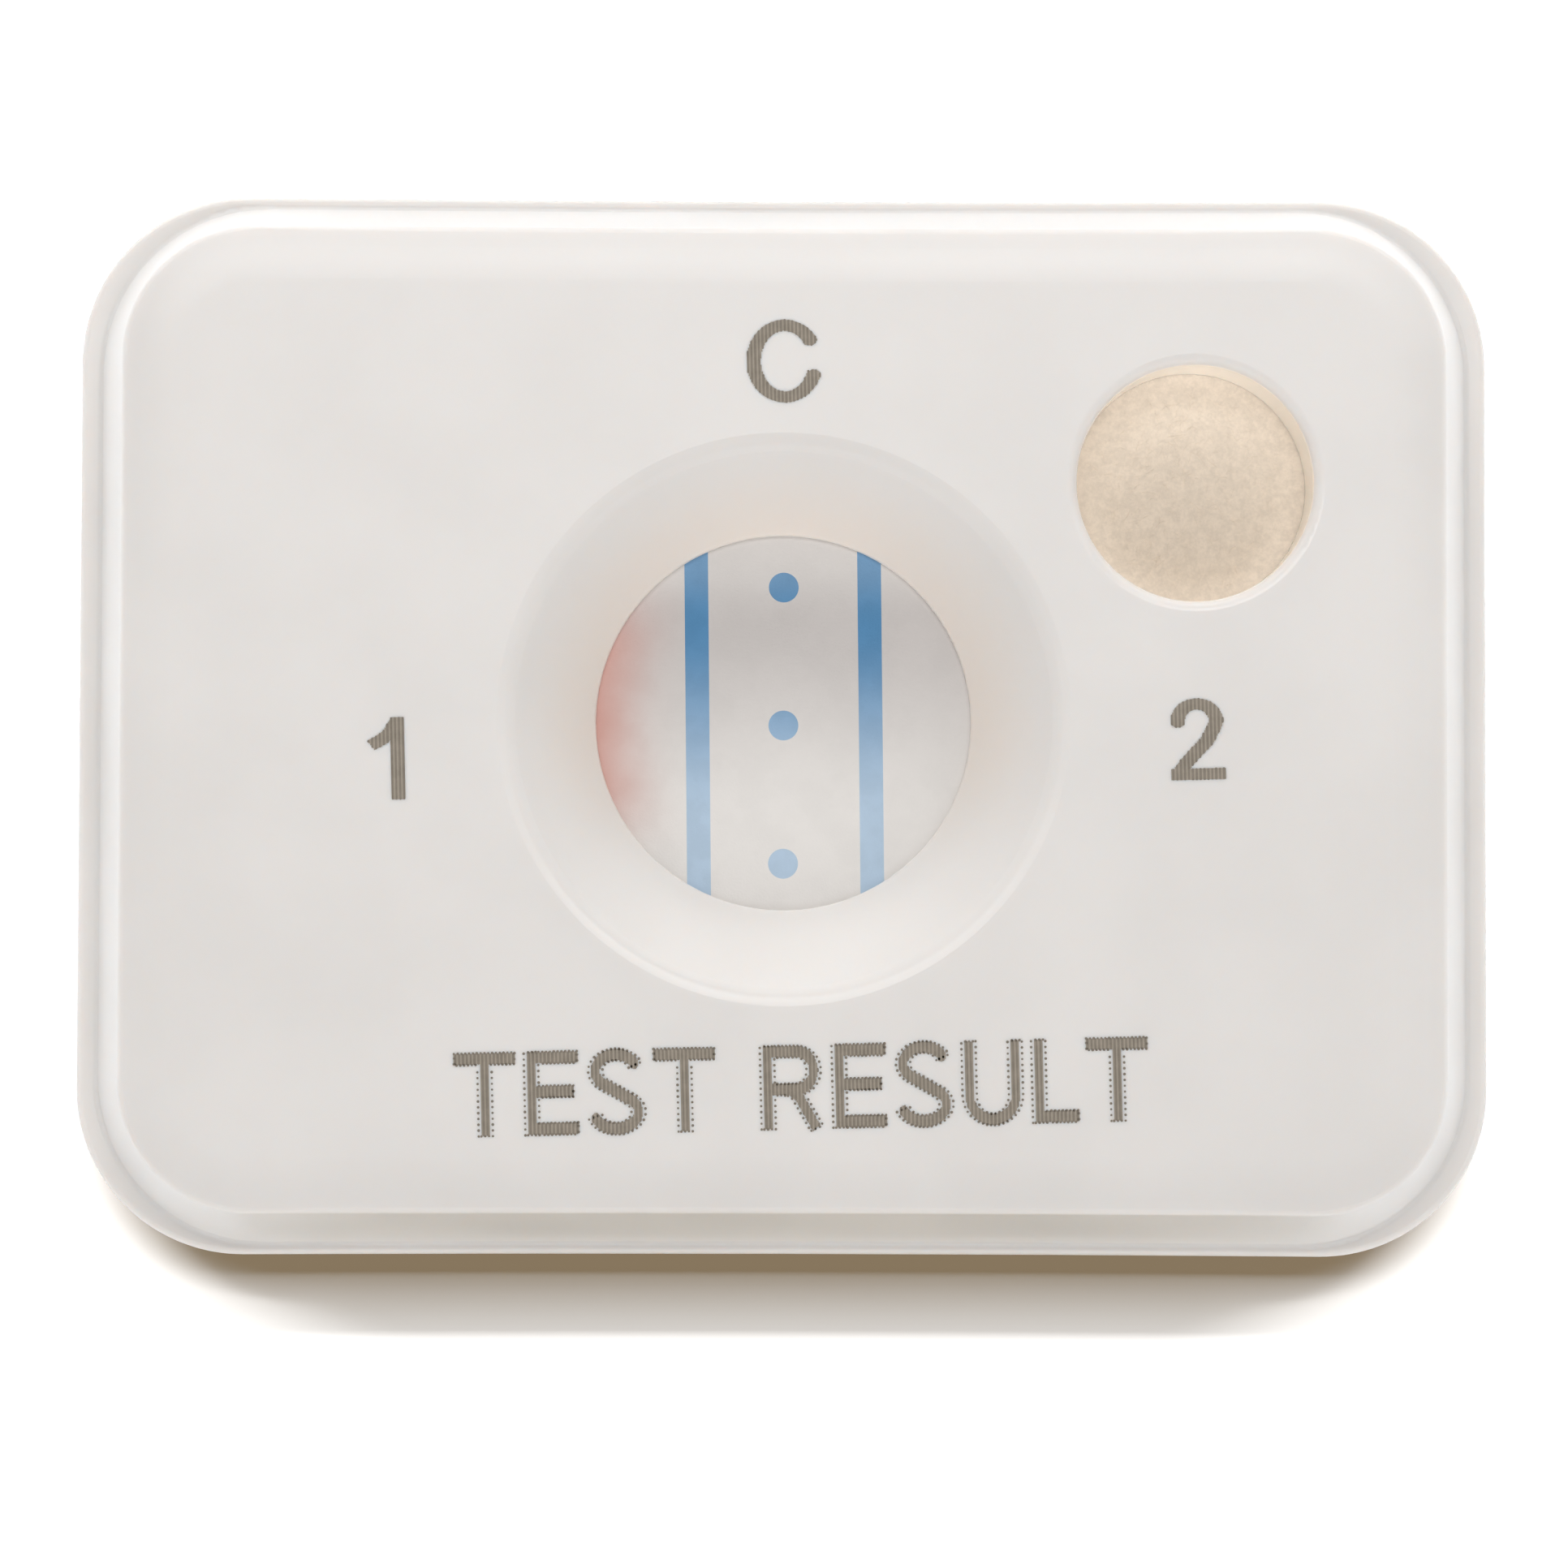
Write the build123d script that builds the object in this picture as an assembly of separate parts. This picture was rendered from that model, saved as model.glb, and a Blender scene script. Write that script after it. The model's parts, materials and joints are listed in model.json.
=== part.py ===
from build123d import *
import math
import os

# Lateral flow cassette: two plastic shells pressed together round a card
# that carries a sample pad, a test membrane and an absorbent pad.
# Millimetres. Origin in the middle of the underside, +Z up,
# +X along the case towards the sample well, +Y across it towards the control mark.

# Case
case_length = 60.0
case_width = 45.2
case_height = 9.0
case_corner_radius = 7.1
long_side_bow = 0.12
rim_height = 3.4
base_draft_deg = 4.0
base_edge_round = 0.7
rim_edge_round = 0.28
floor_thickness = 1.2

# Upper shell's outside, with a narrow flange round its foot
flange_thickness = 0.8
flange_foot_round = 0.3
seam_round = 0.12
ledge_ends = 0.95
ledge_sides = 0.53
foot_corner_radius = 7.05
wall_inset = 1.57
crease_round = 0.3
shoulder_width = 1.5
shoulder_drop = 0.26
shoulder_roll = 8.0

# Wall of the upper shell, and the lip of the lower shell that stands inside it
cover_wall = 1.3
panel_thickness = 1.5
lip_wall = 0.8
lip_height = 0.6
lip_clearance = 0.1

# Reaction window and the funnel down to it
window_radius = 7.9
window_land = 0.3
window_edge_round = 0.2
funnel_rim_radius = 11.45
funnel_wall = 1.3
funnel_rim_round = 1.1

# Sample well, midway between the funnel's rim and a line set back from the case's end
well_end_setback = 7.33
well_side_setback = 12.73
well_radius = 4.92
well_wall = 0.9
well_rim_round = 0.45

# Card, membrane and pads
card_thickness = 0.25
membrane_thickness = 0.15
membrane_margin = 1.8
sample_pad_thickness = 0.45
absorbent_pad_thickness = 1.6
absorbent_pad_room = 0.75
pad_margin = 0.3
pad_overlap = 2.0
pad_clearance = 0.4

# Capture lines and control dots, soaked into the top of the membrane
reagent_depth = 0.06
line_width = 1.0
line_spacing = 7.3
line_lean_deg = 0.7
line_end_margin = 1.0
dot_radius = 0.63
dot_spacing = 5.83
dot_shift_y = -0.1

# Press pins of the upper shell and their sockets in the lower shell
pin_radius = 0.8
pin_length = 2.4
pin_spacing = 20.0
pin_columns = 3
socket_clearance = 0.05
socket_wall = 0.85
socket_rise = 0.5
socket_gap = 0.1
socket_end_gap = 0.4
boss_gap = 0.2

# Ribs and stops inside the shells
rib_thickness = 1.0
rib_pitch = 9.0
rib_count = 5
stop_length = 5.0
stop_rise = 0.6
stop_clearance = 0.15
press_bar_thickness = 1.0
inside_margin = 0.5

# Heights worked out from the sizes above: the pads and the card keep their room under the panel
panel_underside = case_height - panel_thickness
absorbent_pad_top = panel_underside - absorbent_pad_room
card_top = absorbent_pad_top - absorbent_pad_thickness
card_bottom = card_top - card_thickness
membrane_top = card_top + membrane_thickness
sample_pad_top = card_top + sample_pad_thickness
crease_height = case_height - shoulder_drop
parting_height = rim_height - flange_thickness
lip_top = rim_height + lip_height

# Slope of the upper shell's wall from upright, and the shoulder's reach along the panel and down the wall
wall_slope = wall_inset / (crease_height - rim_height)
wall_draft_deg = math.degrees(math.atan(wall_slope))
shoulder_on_panel = shoulder_width - shoulder_drop * wall_slope
shoulder_on_wall = shoulder_drop * math.hypot(1, wall_slope)

# Middle of the sample well
well_x = (funnel_rim_radius + case_length / 2 - well_end_setback) / 2
well_y = case_width / 2 - well_side_setback

# Plan of the card, which reaches past the well's collar and the funnel's foot
card_end = well_x + well_radius + well_wall + pad_margin
card_far_side = well_y + well_radius + well_wall + pad_margin
card_near_side = -(window_radius + funnel_wall + membrane_margin)
card_middle = (card_far_side + card_near_side) / 2
card_width = card_far_side - card_near_side

# Press pins stand in two rows, clear of the card
boss_radius = pin_radius + socket_clearance + socket_wall
socket_top = lip_top + socket_rise
pin_root = socket_top + socket_gap
pin_row = card_far_side + boss_gap + boss_radius
pin_places = [
    (pin_spacing * (number - (pin_columns - 1) / 2), side * pin_row)
    for number in range(pin_columns)
    for side in (-1, 1)
]


def funnel_radius(height):
    """Inner radius of the funnel at a height between the window's land and the panel."""
    land_top = membrane_top + window_land
    share = (height - land_top) / (case_height - land_top)
    return window_radius + max(share, 0.0) * (funnel_rim_radius - window_radius)


# The pads start just outside the funnel, and lap over the ends of the membrane
sample_pad_start = funnel_radius(sample_pad_top) + funnel_wall + pad_clearance
absorbent_pad_start = funnel_radius(absorbent_pad_top) + funnel_wall + pad_clearance
membrane_right = sample_pad_start + pad_overlap
membrane_left = -(absorbent_pad_start + pad_overlap)


def block(x_range, y_range, z_range):
    """Upright box between two corners."""
    size = [high - low for low, high in (x_range, y_range, z_range)]
    middle = [(high + low) / 2 for low, high in (x_range, y_range, z_range)]
    return Pos(*middle) * Box(*size)


def column(place, radius, bottom, top):
    """Upright cylinder between two heights."""
    x, y = place
    return Pos(x, y, (bottom + top) / 2) * Cylinder(radius, top - bottom)


def case_outline(length, width, corner_radius, height):
    """Plan of the case at a height: a rounded rectangle whose long sides sink in a little."""
    end = length / 2
    side = width / 2
    edges = [
        Line((end, -side), (end, side)),
        ThreePointArc((end, side), (0, side - long_side_bow), (-end, side)),
        Line((-end, side), (-end, -side)),
        ThreePointArc((-end, -side), (0, long_side_bow - side), (end, -side)),
    ]
    face = make_face(edges)
    return Pos(0, 0, height) * fillet(face.vertices(), corner_radius)


def cover_outline(inset):
    """Plan of the upper shell's foot, drawn in by a distance, at the height of the rim."""
    return case_outline(
        case_length - 2 * (ledge_ends + inset),
        case_width - 2 * (ledge_sides + inset),
        foot_corner_radius - inset,
        rim_height,
    )


def case_foot(bottom, top):
    """Part of the case between two heights up to the rim, whose sides slope in towards the underside."""
    rim_plan = case_outline(case_length, case_width, case_corner_radius, rim_height)
    whole = extrude(rim_plan, amount=-rim_height, taper=base_draft_deg)
    return whole & block((-case_length, case_length), (-case_width, case_width), (bottom, top))


def edges_at(solid, height):
    """Edges that lie flat at a height."""
    near = 1e-4
    return [
        edge
        for edge in solid.edges()
        if abs(edge.bounding_box().min.Z - height) < near
        and abs(edge.bounding_box().max.Z - height) < near
    ]


def round_edges_at(solid, height, radius, place, near):
    """Edges of a round hole: those at a height whose circle is about an axis and of a radius."""
    return [
        edge
        for edge in edges_at(solid, height)
        if edge.geom_type == GeomType.CIRCLE
        and abs(edge.radius - radius) < near
        and abs(edge.arc_center.X - place[0]) < near
        and abs(edge.arc_center.Y - place[1]) < near
    ]


def ledge_face(solid):
    """Flat top of the flange, round the foot of the wall."""
    near = 1e-4
    level = [face for face in solid.faces().filter_by(GeomType.PLANE) if abs(face.center().Z - rim_height) < near]
    return next(face for face in level if face.inner_wires())


def funnel_solid(outward):
    """The space of the funnel and its window, drawn outward by a distance."""
    over = panel_thickness
    rim_slope = (funnel_rim_radius - window_radius) / (case_height - membrane_top - window_land)
    profile = Polyline(
        (0, 0, membrane_top),
        (window_radius + outward, 0, membrane_top),
        (window_radius + outward, 0, membrane_top + window_land),
        (funnel_rim_radius + outward + rim_slope * over, 0, case_height + over),
        (0, 0, case_height + over),
        close=True,
    )
    return revolve(make_face(profile), Axis.Z)


def upper_shell():
    """Top cover: panel with funnel and well, sloping wall with its flange, collar, press bars and pins."""
    well_place = (well_x, well_y)
    shell = extrude(cover_outline(0), amount=case_height - rim_height, taper=wall_draft_deg)
    panel = shell.faces().sort_by(Axis.Z)[-1]
    shell = Part() + shell.chamfer(shoulder_on_panel, shoulder_on_wall, edges_at(shell, case_height), panel)
    shell = fillet(edges_at(shell, case_height), shoulder_roll)
    shell = fillet(edges_at(shell, crease_height), crease_round)

    shell += case_foot(parting_height, rim_height)
    shell = Part() + shell.fillet(flange_foot_round, ledge_face(shell).inner_wires()[0].edges())
    shell = Part() + shell.fillet(rim_edge_round, ledge_face(shell).outer_wire().edges())
    shell = fillet(edges_at(shell, parting_height), seam_round)

    shell -= funnel_solid(0)
    shell -= column(well_place, well_radius, sample_pad_top, case_height + panel_thickness)
    near = 1e-3
    shell = fillet(round_edges_at(shell, case_height, funnel_rim_radius, (0, 0), near), funnel_rim_round)
    land_top = membrane_top + window_land
    shell = fillet(round_edges_at(shell, land_top, window_radius, (0, 0), near), window_edge_round)
    shell = fillet(round_edges_at(shell, case_height, well_radius, well_place, near), well_rim_round)

    hollow = extrude(cover_outline(cover_wall), amount=panel_underside - rim_height, taper=wall_draft_deg)
    hollow -= funnel_solid(funnel_wall)
    hollow -= column(well_place, well_radius + well_wall, sample_pad_top, case_height)
    for press_bar in press_bars():
        hollow -= press_bar
    for place in pin_places:
        hollow -= column(place, boss_radius, pin_root, case_height)
    shell -= hollow
    shell -= extrude(cover_outline(cover_wall), amount=parting_height - rim_height)

    for place in pin_places:
        shell += column(place, pin_radius, pin_root - pin_length, pin_root + inside_margin)
    return shell


def press_bars():
    """Bars under the panel that hold each pad down on the end of the membrane."""
    y_range = (card_near_side + inside_margin, card_far_side - inside_margin)
    bars = []
    for direction, start, pad_top in (
        (1, sample_pad_start, sample_pad_top),
        (-1, absorbent_pad_start, absorbent_pad_top),
    ):
        middle = direction * (start + pad_overlap / 2)
        half = press_bar_thickness / 2
        bars.append(block((middle - half, middle + half), y_range, (pad_top, case_height)))
    return bars


def lower_shell():
    """Tray: floor, wall with a lip inside the cover, card ribs and stops, and sockets for the pins."""
    shell = case_foot(0, parting_height)
    shell = fillet(edges_at(shell, 0), base_edge_round)
    shell = fillet(edges_at(shell, parting_height), seam_round)

    lip_inset = cover_wall + lip_clearance
    lip_plan = cover_outline(lip_inset)
    shell += extrude(lip_plan, amount=parting_height - rim_height)
    shell += extrude(lip_plan, amount=lip_height, taper=wall_draft_deg)
    tray_plan = cover_outline(lip_inset + lip_wall)
    tray = extrude(Pos(0, 0, floor_thickness - rim_height) * tray_plan, amount=case_height)
    shell -= tray

    for fitting in tray_fittings():
        shell += fitting & tray
    for place in pin_places:
        socket_bottom = pin_root - pin_length - socket_end_gap
        shell -= column(place, pin_radius + socket_clearance, socket_bottom, case_height)
    return shell


def tray_fittings():
    """Ribs under the card, stops round it and bosses for the pins, all standing on the floor."""
    under_floor = floor_thickness / 2
    half_rib = rib_thickness / 2
    rib_heights = (under_floor, card_bottom)
    fittings = []
    for number in range(rib_count):
        x = rib_pitch * (number - (rib_count - 1) / 2)
        y_range = (card_near_side + inside_margin, card_far_side - inside_margin)
        fittings.append(block((x - half_rib, x + half_rib), y_range, rib_heights))
    x_range = (inside_margin - card_end, card_end - inside_margin)
    fittings.append(block(x_range, (card_middle - half_rib, card_middle + half_rib), rib_heights))

    stop_heights = (under_floor, card_top + stop_rise)
    stop_inner = stop_clearance
    stop_outer = stop_clearance + rib_thickness
    half_stop = stop_length / 2
    for x in (-pin_spacing / 2, pin_spacing / 2):
        x_range = (x - half_stop, x + half_stop)
        far = (card_far_side + stop_inner, card_far_side + stop_outer)
        near = (card_near_side - stop_outer, card_near_side - stop_inner)
        fittings.append(block(x_range, far, stop_heights))
        fittings.append(block(x_range, near, stop_heights))
    y_range = (card_middle - half_stop, card_middle + half_stop)
    fittings.append(block((card_end + stop_inner, card_end + stop_outer), y_range, stop_heights))
    fittings.append(block((-card_end - stop_outer, -card_end - stop_inner), y_range, stop_heights))

    for place in pin_places:
        fittings.append(column(place, boss_radius, under_floor, socket_top))
    return fittings


def backing_card():
    """Stiff card under the membrane and both pads."""
    return block((-card_end, card_end), (card_near_side, card_far_side), (card_bottom, card_top))


def test_lines():
    """The two capture lines, leaning a little, soaked into the top of the membrane."""
    length = card_width - 2 * line_end_margin
    height = membrane_top - reagent_depth / 2
    line = Rot(0, 0, line_lean_deg) * Box(line_width, length, reagent_depth)
    return [Pos(side * line_spacing / 2, card_middle, height) * line for side in (-1, 1)]


def control_dots():
    """Column of control dots between the two lines."""
    places = [(0, dot_shift_y + step * dot_spacing) for step in (-1, 0, 1)]
    return [column(place, dot_radius, membrane_top - reagent_depth, membrane_top) for place in places]


def test_membrane(reagents):
    """Membrane on the card, with the lines and dots let into its top."""
    y_range = (card_near_side, card_far_side)
    membrane = block((membrane_left, membrane_right), y_range, (card_top, membrane_top))
    for reagent in reagents:
        membrane -= reagent
    return membrane


def lapped_pad(x_range, pad_top):
    """Pad on the card, stepped underneath where it laps over the end of the membrane."""
    y_range = (card_near_side, card_far_side)
    pad = block(x_range, y_range, (card_top, pad_top))
    return pad - block((membrane_left, membrane_right), y_range, (card_top, membrane_top))


def build():
    """Every piece of the cassette, by name."""
    lines = test_lines()
    dots = control_dots()
    return {
        "upper_shell": upper_shell(),
        "lower_shell": lower_shell(),
        "backing_card": backing_card(),
        "test_membrane": test_membrane(lines + dots),
        "test_line_1": lines[0],
        "test_line_2": lines[1],
        "control_dots": Compound(children=dots),
        "sample_pad": lapped_pad((sample_pad_start, card_end), sample_pad_top),
        "absorbent_pad": lapped_pad((-card_end, -absorbent_pad_start), absorbent_pad_top),
    }


os.makedirs("parts", exist_ok=True)
for name, piece in build().items():
    export_step(piece, f"parts/{name}.step")
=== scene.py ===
import json
import math
import random

import bmesh
import bpy
import numpy as np
from mathutils import Euler, Matrix, Vector, noise


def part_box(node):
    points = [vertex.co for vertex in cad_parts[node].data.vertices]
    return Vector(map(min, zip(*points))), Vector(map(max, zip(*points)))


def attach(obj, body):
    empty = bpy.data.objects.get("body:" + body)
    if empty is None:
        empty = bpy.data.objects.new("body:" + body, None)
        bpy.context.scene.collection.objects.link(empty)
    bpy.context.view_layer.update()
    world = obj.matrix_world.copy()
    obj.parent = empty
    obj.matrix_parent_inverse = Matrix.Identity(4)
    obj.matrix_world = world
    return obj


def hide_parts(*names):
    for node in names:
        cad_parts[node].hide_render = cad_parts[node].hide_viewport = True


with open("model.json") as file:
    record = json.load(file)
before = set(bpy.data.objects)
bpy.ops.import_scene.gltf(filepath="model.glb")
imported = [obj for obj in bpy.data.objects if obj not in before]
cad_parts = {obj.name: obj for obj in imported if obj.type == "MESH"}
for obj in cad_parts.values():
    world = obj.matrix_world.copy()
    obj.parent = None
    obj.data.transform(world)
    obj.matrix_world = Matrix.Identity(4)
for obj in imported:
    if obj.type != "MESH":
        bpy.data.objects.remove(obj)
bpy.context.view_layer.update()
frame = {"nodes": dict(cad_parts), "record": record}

# Lateral flow cassette, dressed: satin white case, stained membrane, fibrous pads and laser marks.
# Metres, in the frame of the model: origin under the middle of the case, +X towards the sample well, +Z up.

MM = 0.001

# Camera: nearly straight down on the printed panel
CAMERA_TARGET = Vector((0.01, -2.70, 9.0)) * MM
CAMERA_DISTANCE = 190 * MM
CAMERA_TILT = math.radians(2.03)
CAMERA_YAW = math.radians(-0.34)
CAMERA_ROLL = math.radians(0.17)
VIEW_WIDTH = 64.83 * MM
SENSOR_WIDTH = 36.0

# Light: a low bank of light towards +Y, a higher one towards -Y, and a soft key lamp on the +Y side.
# Where a bank rises and falls is given from 0 at the horizon to 1 overhead. Light from beneath, DOME_UNDER,
# reaches only the underside.
BANK_PLUS_Y = 5.0
BANK_MINUS_Y = 2.65
LOW_BANK_RISE = (0.0, 0.2)
LOW_BANK_FALL = (0.28, 0.54)
HIGH_BANK_RISE = (0.13, 0.39)
DOME_UNDER = 0.5
LAMP_DISTANCE = 0.5
KEY_ANGLE = math.radians(22)
KEY_LENGTH = 0.35
KEY_WIDTH = 0.16
KEY_POWER = 0.88

# Floor: two lamps of its own make its shadow on the -Y side, soft by the foot and sharper farther out.
# It lies a hair above the underside and is clear from beneath, so that the underside shows from below.
FLOOR_HALF = 2.0
FLOOR_LIFT = 0.02 * MM
FLOOR_COLOUR = (0.05, 0.05, 0.05)
# Bounce colours paint shade and light into what the floor throws back: darkest and warm on the -Y side by
# the shadow, palest at the ends.
FLOOR_BOUNCE_ENDS = (0.037, 0.037, 0.037)
FLOOR_BOUNCE_PLUS_Y = (0.024, 0.024, 0.024)
FLOOR_BOUNCE_MINUS_Y = (0.012, 0.009, 0.004)
# The glow, seen directly, paints warm bounce light into the shadow by the object and turns white farther
# out.
FLOOR_GLOW = (0.21, 0.15, 0.08)
FLOOR_WHITE_FROM = 50 * MM
FLOOR_WHITE_TO = 90 * MM
FLOOR_LAMP_LENGTH = 0.8
FOOT_SHADOW_ANGLE = math.radians(22.2)
FOOT_SHADOW_WIDTH = 0.14
FOOT_SHADOW_POWER = 34.0
FOOT_SHADOW_COLOUR = (0.93, 1.0, 1.08)
FAR_SHADOW_ANGLE = math.radians(33.2)
FAR_SHADOW_WIDTH = 0.05
FAR_SHADOW_POWER = 120.0
FAR_SHADOW_COLOUR = (1.0, 1.0, 1.0)

# Places read from the model
PANEL_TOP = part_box("upper_shell")[1].z
MEMBRANE_LOW, MEMBRANE_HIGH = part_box("test_membrane")
PAD_LOW, PAD_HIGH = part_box("sample_pad")
SINK_LOW, SINK_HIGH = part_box("absorbent_pad")
WELL = next(o for o in frame["record"]["physics"]["openings"] if o["name"] == "sample_well")
WELL_MIDDLE = (Vector(WELL["box_m"][0]) + Vector(WELL["box_m"][1])) / 2
WELL_RADIUS = 4.92 * MM
WINDOW_RADIUS = 7.9 * MM
FUNNEL_RADIUS = 11.45 * MM


# Node helpers


def add_node(tree, kind, **settings):
    """A new node of a kind, with its settings."""
    node = tree.nodes.new(kind)
    for name, value in settings.items():
        setattr(node, name, value)
    return node


def feed(tree, value, socket):
    """Links an output to a socket, or sets the socket to a plain value."""
    if isinstance(value, bpy.types.NodeSocket):
        tree.links.new(value, socket)
    else:
        socket.default_value = value


def calculate(tree, operation, first, second=0.0):
    """Output of a maths node."""
    node = add_node(tree, "ShaderNodeMath", operation=operation)
    feed(tree, first, node.inputs[0])
    feed(tree, second, node.inputs[1])
    return node.outputs[0]


def between(tree, value, low, high, to_low=0.0, to_high=1.0):
    """A value taken smoothly from one range to another."""
    node = add_node(tree, "ShaderNodeMapRange", interpolation_type="SMOOTHSTEP")
    for number, entry in enumerate((value, low, high, to_low, to_high)):
        feed(tree, entry, node.inputs[number])
    return node.outputs[0]


def blend_colours(tree, share, first, second):
    """Colour between two others."""
    node = add_node(tree, "ShaderNodeMix", data_type="RGBA")
    feed(tree, share, node.inputs["Factor"])
    feed(tree, first, node.inputs["A"])
    feed(tree, second, node.inputs["B"])
    return node.outputs["Result"]


def colour(red, green, blue):
    """Colour with full opacity."""
    return (red, green, blue, 1.0)


def new_material(name):
    """Material with a Principled shader, its node tree and that shader."""
    material = bpy.data.materials.new(name)
    material.use_nodes = True
    tree = material.node_tree
    return material, tree, tree.nodes["Principled BSDF"]


def place_group(tree, group, **values):
    """A copy of a shader group in a material, with its input values."""
    node = add_node(tree, "ShaderNodeGroup", node_tree=group)
    for name, value in values.items():
        feed(tree, value, node.inputs[name.replace("_", " ")])
    return node


def bump(tree, shader, height, strength, depth):
    """Bump from a height, on a shader's normal."""
    node = add_node(tree, "ShaderNodeBump")
    node.inputs["Strength"].default_value = strength
    node.inputs["Distance"].default_value = depth
    tree.links.new(height, node.inputs["Height"])
    tree.links.new(node.outputs["Normal"], shader.inputs["Normal"])


# Shared effects


def cloud_and_grain_group():
    """Broad cloudiness and fine grain, each from 0 to 1, at sizes given in metres."""
    group = bpy.data.node_groups.new("cloud and grain", "ShaderNodeTree")
    for name in ("Cloud Size", "Grain Size"):
        group.interface.new_socket(name, in_out="INPUT", socket_type="NodeSocketFloat")
    for name in ("Cloud", "Grain"):
        group.interface.new_socket(name, in_out="OUTPUT", socket_type="NodeSocketFloat")
    sizes = add_node(group, "NodeGroupInput")
    result = add_node(group, "NodeGroupOutput")
    place = add_node(group, "ShaderNodeTexCoord")
    for name, detail, low, high in (("Cloud", 4.0, 0.3, 0.7), ("Grain", 2.0, 0.25, 0.75)):
        pattern = add_node(group, "ShaderNodeTexNoise")
        pattern.inputs["Detail"].default_value = detail
        feed(group, place.outputs["Object"], pattern.inputs["Vector"])
        scale = calculate(group, "DIVIDE", 1.0, sizes.outputs[name + " Size"])
        feed(group, scale, pattern.inputs["Scale"])
        feed(group, between(group, pattern.outputs[0], low, high), result.inputs[name])
    return group


def fade_group():
    """How far a point lies along Y between two places, from 0 to 1, with a wandering edge."""
    group = bpy.data.node_groups.new("fade across", "ShaderNodeTree")
    for name in ("From", "To", "Wander", "Wander Size"):
        group.interface.new_socket(name, in_out="INPUT", socket_type="NodeSocketFloat")
    group.interface.new_socket("Fade", in_out="OUTPUT", socket_type="NodeSocketFloat")
    values = add_node(group, "NodeGroupInput")
    result = add_node(group, "NodeGroupOutput")
    place = add_node(group, "ShaderNodeTexCoord")
    axes = add_node(group, "ShaderNodeSeparateXYZ")
    feed(group, place.outputs["Object"], axes.inputs[0])
    pattern = add_node(group, "ShaderNodeTexNoise")
    feed(group, place.outputs["Object"], pattern.inputs["Vector"])
    feed(group, calculate(group, "DIVIDE", 1.0, values.outputs["Wander Size"]), pattern.inputs["Scale"])
    swing = calculate(group, "SUBTRACT", pattern.outputs[0], 0.5)
    shift = calculate(group, "MULTIPLY", swing, values.outputs["Wander"])
    along = calculate(group, "ADD", axes.outputs["Y"], shift)
    fade = between(group, along, values.outputs["From"], values.outputs["To"])
    feed(group, fade, result.inputs["Fade"])
    return group


CLOUD_AND_GRAIN = cloud_and_grain_group()
FADE = fade_group()


# Materials


def case_plastic():
    """Satin white plastic that lets light through, with painted warm bounce light low in the funnel, and
    glossy in the well, whose wall carries a painted cream reflection of the pad.
    """
    material, tree, shader = new_material("case plastic")
    finish = place_group(tree, CLOUD_AND_GRAIN, Cloud_Size=7 * MM, Grain_Size=0.14 * MM)
    tone = blend_colours(
        tree,
        finish.outputs["Cloud"],
        colour(0.72, 0.695, 0.672),
        colour(0.74, 0.715, 0.692),
    )
    in_funnel = within(tree, Vector((0.0, 0.0)), WINDOW_RADIUS, FUNNEL_RADIUS)
    # Painted warm bounce light: the funnel's +Y side turns warmer and a little darker, most of all by the
    # window.
    painted_warm_side = place_group(tree, FADE, From=-7 * MM, To=0.0, Wander=0.0, Wander_Size=1.0)
    painted_warm_bounce = calculate(tree, "MULTIPLY", in_funnel, painted_warm_side.outputs["Fade"])
    in_well = within(tree, WELL_MIDDLE, WELL_RADIUS, WELL_RADIUS + 0.03 * MM)
    tone = blend_colours(tree, painted_warm_bounce, tone, colour(0.735, 0.672, 0.617))
    # Painted reflection: the well's wall takes the pad's cream colour, as if lit by light bounced off the
    # pad.
    tone = blend_colours(tree, in_well, tone, colour(0.92, 0.85, 0.77))
    feed(tree, tone, shader.inputs["Base Color"])
    satin = between(tree, finish.outputs["Cloud"], 0.0, 1.0, 0.30, 0.37)
    polish = between(tree, in_well, 0.0, 1.0, 1.0, 0.3)
    feed(tree, calculate(tree, "MULTIPLY", satin, polish), shader.inputs["Roughness"])
    bump(tree, shader, finish.outputs["Grain"], 0.05, 0.01 * MM)
    shader.inputs["Subsurface Weight"].default_value = 1.0
    shader.inputs["Subsurface Radius"].default_value = (1.0, 0.85, 0.75)
    shader.inputs["Subsurface Scale"].default_value = 0.4 * MM
    return material


def within(tree, middle, near, far):
    """1 in a round space of the cover seen from above, fading to 0 between two radii, and 0 in the tray."""
    place = add_node(tree, "ShaderNodeTexCoord")
    axes = add_node(tree, "ShaderNodeSeparateXYZ")
    feed(tree, place.outputs["Object"], axes.inputs[0])
    plan = add_node(tree, "ShaderNodeVectorMath", operation="MULTIPLY")
    feed(tree, place.outputs["Object"], plan.inputs[0])
    plan.inputs[1].default_value = (1.0, 1.0, 0.0)
    reach = add_node(tree, "ShaderNodeVectorMath", operation="DISTANCE")
    feed(tree, plan.outputs[0], reach.inputs[0])
    reach.inputs[1].default_value = (middle.x, middle.y, 0.0)
    inside = between(tree, reach.outputs["Value"], near, far, 1.0, 0.0)
    cover = between(tree, axes.outputs["Z"], PAD_HIGH.z - 1.0 * MM, PAD_HIGH.z - 0.5 * MM)
    return calculate(tree, "MULTIPLY", inside, cover)


def card_film():
    """Plain white film of the backing card."""
    material, tree, shader = new_material("card film")
    finish = place_group(tree, CLOUD_AND_GRAIN, Cloud_Size=5 * MM, Grain_Size=0.3 * MM)
    tone = blend_colours(tree, finish.outputs["Cloud"], colour(0.83, 0.83, 0.81), colour(0.87, 0.87, 0.85))
    feed(tree, tone, shader.inputs["Base Color"])
    feed(tree, between(tree, finish.outputs["Grain"], 0.0, 1.0, 0.38, 0.5), shader.inputs["Roughness"])
    return material


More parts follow.
